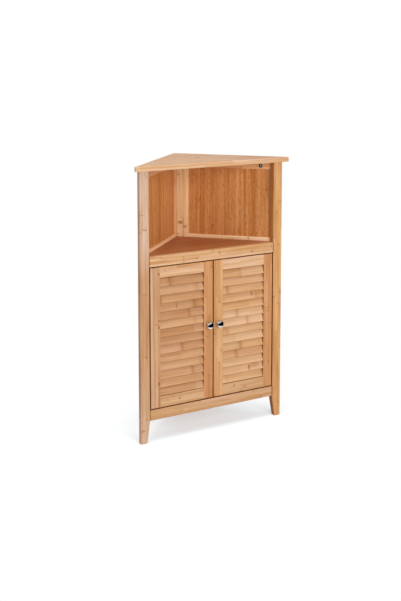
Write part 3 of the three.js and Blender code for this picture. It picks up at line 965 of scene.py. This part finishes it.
class CUPBOARD_OT_slats(Operator):
    """The round-edged louvre slats of both doors"""

    bl_idname = "cupboard.slats"
    bl_label = "Louvre slats"

    def execute(self, context):
        sizes, colours = settings(context)
        material = self.slat_bamboo(sizes.slat)
        spread = np.random.default_rng(11).uniform(-1, 1, (len(SIDES), len(SLATS)))
        most_change = np.array([0.05, 0.07, 0.09])
        for side, changes in zip(SIDES, spread):
            colour_of_side = np.array(getattr(colours, side + "_slats"))
            for number, change in zip(SLATS, changes):
                node = f"{side}_door_slat_{number:02d}"
                low, high = box(node)
                middle = (low + high) / 2
                lean = (high - low)[1:] - sizes.slat
                direction = lean / np.linalg.norm(lean)
                half = (np.linalg.norm(lean) + sizes.slat) / 2
                corners = [
                    middle[1:] + a * half * direction + b * sizes.slat / 2 * quarter_turn(direction)
                    for a, b in ((-1, -1), (1, -1), (1, 1), (-1, 1))
                ]
                levels = eased_levels(low[0], high[0], sizes.joint_ease, sizes.joint_ease)
                base = colour_of_side * (1 + most_change * change)
                board(node, corners, [sizes.slat_edge] * 4, levels, *LYING, base, material, "slat")
        return {"FINISHED"}

    def slat_bamboo(self, thickness):
        """The slats' finish, with a painted shade line where one slat goes below the next."""
        low, high = box("left_door_slat_01")
        bottom = low[2]
        rise = bottom - box("left_door_slat_02")[0][2]
        _, deep, tall = high - low
        middle = (low[1] + high[1]) / 2
        below_lip = 0.0015
        behind = middle + (rise - below_lip - tall / 2) * (deep - thickness) / (tall - thickness)
        darkness, line_start, line_full = 0.5, 0.84, 0.94

        def crevice(finish):
            """Painted shade: a brown line on each slat's front, right below the lip of the slat above, where
            its shadow falls.
            """
            _, y, z = finish.split(finish.place())
            height = (z - bottom) / rise + len(SLATS)
            share = height - finish.floor(height)
            return darkness * finish.ramp(share, line_start, line_full) * (y < behind)

        looks = {"strip": 0.05, "layer": 0.03, "block": 0.15, "strength": 1.0, "blush": 0.3}
        marks = front_marks(y=-0.125, rows=SLAT_MARKS, deep=0.02)
        # The slats' bamboo carries a painted shade line below each slat's lip
        return board_bamboo("Slat bamboo", **looks, knuckles=2.6, line=0.3, marks=marks, crevice=crevice)


class CUPBOARD_OT_knobs(Operator):
    """The two turned chrome knobs"""

    bl_idname = "cupboard.knobs"
    bl_label = "Knobs"

    def execute(self, context):
        _, colours = settings(context)
        material = plated("Chrome", colours.chrome, roughness=0.05, wear=0.04)
        foot_share, neck_share, head_share = 0.6, 0.4, 0.64
        lip, lip_height, flat_sole = 0.0008, 0.0010, 0.0003
        fillet, fillet_height = 0.0012, 0.0030
        for side in SIDES:
            node = side + "_door_knob"
            low, high = box(node)
            radius, deep = (high[0] - low[0]) / 2, high[1] - low[1]
            foot, neck, head = radius * foot_share, radius * neck_share, radius * head_share
            profile = np.concatenate([
                [(0, 0), (foot - flat_sole, 0)],
                arc((foot - lip, lip_height), (lip, lip), -60, 90, 6),
                arc((neck + fillet, fillet_height), (fillet, fillet), 270, 180, 6),
                arc((0, deep - head), (radius, head), -63, 90, 30)[:-1],
                [(0, deep)],
            ])
            vertices, faces = turned(profile, 96)
            centre = ((low[0] + high[0]) / 2, high[1], (low[2] + high[2]) / 2)
            vertices = vertices @ facing((0, -1, 0)) + centre
            piece = put("finished_" + node, side + "_door", material, vertices, faces)
            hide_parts(node)
        return {"FINISHED"}


def button(name, body, material, radius, proud, direction, centre):
    """A low domed fastener that points in a level direction, out of the face that it sits in."""
    sunk, chamfer, rim = 0.001, 0.0002, 0.0003
    profile = np.concatenate([
        [(0, -sunk), (radius - chamfer, -sunk), (radius, chamfer - sunk), (radius, proud * 0.3)],
        arc((radius - rim, proud * 0.5), (rim, proud * 0.5), 0, 90, 4),
        [(radius * 0.6, proud), (radius * 0.3, proud), (0, proud)],
    ])
    vertices, faces = turned(profile, 48)
    across = vertices[:, :2]
    face = np.concatenate([across, np.linalg.norm(across, axis=1, keepdims=True)], 1)
    place = vertices @ facing(direction) + np.array(centre)
    put(name, body, material, place, faces, {"face": face})


class CUPBOARD_OT_cam_locks(Operator):
    """The cam locks that hold the top plate, two in each top side rail"""

    bl_idname = "cupboard.cam_locks"
    bl_label = "Cam locks"

    def execute(self, context):
        sizes, _ = settings(context)
        # The dark ring on each cam lock's face is painted shade of the recess round it
        painted_shade_ring, half_slot, proud = 0.0027, 0.0002, 0.0004
        material = fastener("Cam lock zinc", paint("f6f2ec"), paint("0a0807"), painted_shade_ring, half_slot)
        reach = (APEX - POST_BACK) / DIAGONAL
        for side, sign in SIDES.items():
            low, high = box(side + "_top_side_rail")
            height = (low[2] + high[2]) / 2 - sizes.cam_drop
            into_room = np.array([-sign * DIAGONAL, -DIAGONAL, 0])
            front = reach - sizes.wall - sizes.cam_inset
            rear = getattr(sizes, side + "_stile") + sizes.cam_inset
            for end, distance in (("front", front), ("rear", rear)):
                centre = (0, APEX, height) + ALONG_WALL[side][0] * distance + into_room * sizes.wall
                name = f"{side}_{end}_cam_lock"
                button(name, "carcass", material, sizes.cam_lock, proud, into_room, centre)
        return {"FINISHED"}


def plate(name, body, corners, low, high, material):
    """A thin steel plate with round corners, its faces across Y."""
    ease, margin, corner = 0.0001, 0.00005, 0.0012
    levels = eased_levels(low, high, ease, ease, margin=margin)
    prism(name, body, material, corners, corner, levels, FACING_BACK)


class CUPBOARD_OT_catch(Operator):
    """The magnetic catch with its pole strips, and a strike plate on each door's back"""

    bl_idname = "cupboard.catch"
    bl_label = "Catch and strike plates"

    def execute(self, context):
        sizes, colours = settings(context)
        no_ring, half_slot = 0.02, 0.0005
        # The screws' dark cross is painted shade of the slot
        screws = fastener("Screw zinc", paint("c4c5c6"), paint("201d1a"), no_ring, half_slot)
        steel = plated("Steel", colours.steel, roughness=0.3, wear=0.25)
        self.catch(sizes.screw, moulded("Catch plastic", colours.catch), steel, screws)
        for side, sign in SIDES.items():
            self.strike(sizes, side, sign, steel, screws)
        return {"FINISHED"}

    def catch(self, screw, plastic, steel, screws):
        """An angle piece: a block that hangs below the rail, with two pole strips in its front, and a
        leaf on the rail's back, with two screws."""
        low, high = box("magnetic_catch")
        edge, leaf, block = 0.0006, 0.003, 0.015
        step, top = low[1] + leaf, low[2] + block
        outline = [
            (low[1], low[2]),
            (high[1], low[2]),
            (high[1], top),
            (step, top),
            (step, high[2]),
            (low[1], high[2]),
        ]
        levels = eased_levels(low[0], high[0], edge, edge)
        catch = prism("catch_body", "carcass", plastic, outline, edge, levels, CROSSWISE)
        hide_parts("magnetic_catch")
        from_end, from_middle, from_sole, from_top = 0.004, 0.0035, 0.003, 0.004
        strip_front, strip_back = low[1] - 0.00005, low[1] + 0.001
        poles = {"left": (low[0] + from_end, -from_middle), "right": (from_middle, high[0] - from_end)}
        for name, (left, right) in poles.items():
            strip = rectangle((low[2] + from_sole, left), (top - from_top, right))
            plate(f"catch_{name}_pole", "carcass", strip, strip_front, strip_back, steel)
        screw_inset, screw_proud = 0.009, 0.0012
        for name, x in (("left", low[0] + screw_inset), ("right", high[0] - screw_inset)):
            centre = (x, step, (top + high[2]) / 2)
            button(f"catch_{name}_screw", "carcass", screws, screw, screw_proud, (0, 1, 0), centre)

    def strike(self, sizes, side, sign, steel, screws):
        """A plate let into the back of a door's meeting stile, with its screw."""
        near, far, lowest, highest = 0.0045, 0.0225, -0.030, -0.003
        plate_proud, screw_height, screw_proud = 0.0003, 0.007, 0.0009
        _, stile = box(side + "_door_meeting_stile")
        left, right = sorted((sign * near, sign * far))
        floor, ceiling = stile[2] + lowest, stile[2] + highest
        body, outline = side + "_door", rectangle((floor, left), (ceiling, right))
        out = stile[1] + plate_proud
        plate(side + "_strike_plate", body, outline, stile[1] - sizes.strike_thickness, out, steel)
        centre = ((left + right) / 2, out, floor + screw_height)
        button(side + "_strike_screw", body, screws, sizes.screw, screw_proud, (0, 1, 0), centre)


class CUPBOARD_OT_pins(Operator):
    """The finish of the pivot pins"""

    bl_idname = "cupboard.pins"
    bl_label = "Pivot pins"

    def execute(self, context):
        _, colours = settings(context)
        steel = plated("Pin steel", colours.pin, roughness=0.45, wear=0.25)
        for side in SIDES:
            for end in ("upper", "lower"):
                repaint(f"{side}_door_{end}_pin", steel)
        return {"FINISHED"}


# Stage


def floor_paint(shade, seen_shade, glow):
    """White paint. Where a camera, a mirror or glass sees it, it glows besides, which whitens it and
    keeps the shadow below the cupboard; a hand's width outside the cupboard's plan it only glows, at
    strength 1. The plan is the triangle between the posts' fronts and both walls."""
    finish = Finish("Floor paint")
    x, y, _ = finish.split(finish.place())
    outside = finish.maths("MAXIMUM", float(POST_FRONT) - y, (abs(x) + y - APEX) * DIAGONAL)
    far = finish.ramp(outside, 0.01, 0.15)
    plain = finish.node("ShaderNodeBsdfDiffuse", (), {"Color": (shade, shade, shade, 1)})
    darker = finish.node("ShaderNodeBsdfDiffuse", (), {"Color": (*seen_shade, 1)})
    glowing = finish.node("ShaderNodeEmission", (), {"Color": (0.96, 0.985, 1, 1), "Strength": glow})
    near = finish.node("ShaderNodeAddShader", (), {0: darker, 1: glowing})
    white = finish.node("ShaderNodeEmission", (), {"Color": (1, 1, 1, 1), "Strength": 1.0})
    shown = finish.node("ShaderNodeMixShader", (), {0: far, 1: near, 2: white})
    return finish.done(finish.node("ShaderNodeMixShader", (), {0: finish.seen(), 1: plain, 2: shown}))


# The dark cards: azimuths, the elevations of the lower and the upper edge there, and the ring's radius.
# The bright band that the first two leave, from low on the left to high in front, is the streak on the knobs.
CARDS = (
    ((-130, -90, -50, 0, 60), (0.3, 0.3, 0.3, 0.3, 0.3), (1, 8, 28, 42, 44), 0.55),
    ((-130, -90, -50, 0, 60), (20, 40, 61, 74, 76), (89, 89, 89, 89, 89), None),
    ((60, 115), (0.3, 0.3), (89, 89), 0.55),
    ((115, 175), (0.3, 0.3), (50, 50), 1.6),
)
CARD_REACH = 3.3
CARD_LIFT = 0.004
CARD_ROWS, CARD_COLUMNS = 14, 48
FLOOR_REACH = 30
# Each lamp's place, its width, and whether mirrors show it
LAMPS = {
    "key": ((-0.10, -3.68, 1.42), 2.2, False),
    "side": ((-1.90, -0.17, 2.41), 1.1, True),
    "above": ((-0.3, -0.5, 3.4), 2.0, False),
}
LAMP_AIM = Vector((0, 0, 0.45))


class CUPBOARD_OT_stage(Operator):
    """Floor, even sky, soft lamps, dark cards that only reflections see, and the camera"""

    bl_idname = "cupboard.stage"
    bl_label = "Stage"

    def execute(self, context):
        stage = context.scene.cupboard_stage
        self.floor()
        self.sky(context.scene, stage.sky)
        for card in CARDS:
            self.card(*card)
        for name, (place, width, mirrored) in LAMPS.items():
            self.lamp(name, place, width, getattr(stage, name)).visible_glossy = mirrored
        self.camera(context.scene, stage)
        context.scene.view_settings.view_transform = "Standard"
        return {"FINISHED"}

    def floor(self):
        far = FLOOR_REACH
        corners = [(-far, -far, 0), (far, -far, 0), (far, far, 0), (-far, far, 0)]
        white = floor_paint(shade=0.8, seen_shade=(0.82, 0.90, 0.93), glow=0.45)
        floor = drawn("floor", corners, [(0, 1, 2, 3)], white)

    def sky(self, scene, strength):
        """A white background for the camera and for mirrors, and even light for the rest."""
        finish = Finish("Sky", "worlds")
        level = strength + (1 - strength) * finish.seen()
        light = finish.node("ShaderNodeBackground", (), {"Color": (1, 1, 1, 1), "Strength": level})
        scene.world = finish.done(light, "World")

    def card(self, azimuths, lows, tops, inner):
        """Part of a large sphere round the cupboard, between a lower and an upper edge, and a ring just
        above the floor inside it where an inner radius is given. A point is (r sin a, -r cos a, z), with
        r = reach * cos e and z = reach * sin e on the sphere."""
        turn = np.linspace(azimuths[0], azimuths[-1], CARD_COLUMNS)
        share = np.linspace(0, 1, CARD_ROWS)[:, None]
        low, top = np.interp(turn, azimuths, lows), np.interp(turn, azimuths, tops)
        azimuth, elevation = np.radians(turn), np.radians(low + (top - low) * share)
        across, height = CARD_REACH * np.cos(elevation), CARD_REACH * np.sin(elevation)
        if inner:
            across = np.concatenate([np.full((1, CARD_COLUMNS), inner), across])
            height = np.concatenate([np.full((1, CARD_COLUMNS), CARD_LIFT), height])
        points = np.stack([across * np.sin(azimuth), -across * np.cos(azimuth), height], -1)
        finish = Finish("Card black")
        black = finish.done(finish.node("ShaderNodeBsdfDiffuse", (), {"Color": (0.006, 0.006, 0.007, 1)}))
        card = drawn("dark_card", points.reshape(-1, 3), quads(*points.shape[:2], closed=False), black)
        for ray in ("camera", "diffuse", "shadow", "transmission", "volume_scatter"):
            setattr(card, "visible_" + ray, False)

    def lamp(self, name, place, width, watts):
        data = bpy.data.lights.new(name, "AREA")
        data.shape = "SQUARE"
        data.size = width
        data.energy = watts
        lamp = bpy.data.objects.new(name, data)
        lamp.location = place
        lamp.rotation_euler = (LAMP_AIM - Vector(place)).to_track_quat("-Z", "Y").to_euler()
        bpy.context.scene.collection.objects.link(lamp)
        return lamp

    def camera(self, scene, stage):
        data = bpy.data.cameras.new("camera")
        data.lens = stage.lens
        data.shift_x, data.shift_y = stage.shift
        data.clip_end = 100
        camera = bpy.data.objects.new("camera", data)
        scene.collection.objects.link(camera)
        turn = Matrix.Rotation(-stage.yaw, 4, "Z") @ Matrix.Rotation(math.pi / 2 - stage.pitch, 4, "X")
        turn = turn @ Matrix.Rotation(stage.roll, 4, "Z")
        camera.matrix_world = Matrix.Translation(stage.camera) @ turn
        scene.camera = camera


STEPS = (
    CUPBOARD_OT_top,
    CUPBOARD_OT_posts,
    CUPBOARD_OT_front_rails,
    CUPBOARD_OT_walls,
    CUPBOARD_OT_boards,
    CUPBOARD_OT_door_frames,
    CUPBOARD_OT_slats,
    CUPBOARD_OT_knobs,
    CUPBOARD_OT_cam_locks,
    CUPBOARD_OT_catch,
    CUPBOARD_OT_pins,
    CUPBOARD_OT_stage,
)
GROUPS = {
    "cupboard_sizes": CupboardSizes,
    "cupboard_colours": CupboardColours,
    "cupboard_stage": CupboardStage,
}


class CUPBOARD_PT_sidebar(Panel):
    """The cupboard's pieces, sizes and colours"""

    bl_idname = "CUPBOARD_PT_sidebar"
    bl_label = "Corner cupboard"
    bl_space_type = "VIEW_3D"
    bl_region_type = "UI"
    bl_category = "Cupboard"

    def draw(self, context):
        for step in STEPS:
            self.layout.operator(step.bl_idname, text=step.bl_label)
        for name, kind in GROUPS.items():
            column = self.layout.column()
            for setting in kind.__annotations__:
                column.prop(getattr(context.scene, name), setting)


CLASSES = (*GROUPS.values(), *STEPS, CUPBOARD_PT_sidebar)


def register():
    for kind in CLASSES:
        bpy.utils.register_class(kind)
    for name, kind in GROUPS.items():
        setattr(bpy.types.Scene, name, PointerProperty(type=kind))


def unregister():
    for name in GROUPS:
        delattr(bpy.types.Scene, name)
    for kind in reversed(CLASSES):
        bpy.utils.unregister_class(kind)


def main():
    register()
    for step in STEPS:
        group, name = step.bl_idname.split(".")
        getattr(getattr(bpy.ops, group), name)()


if __name__ == "__main__":
    main()
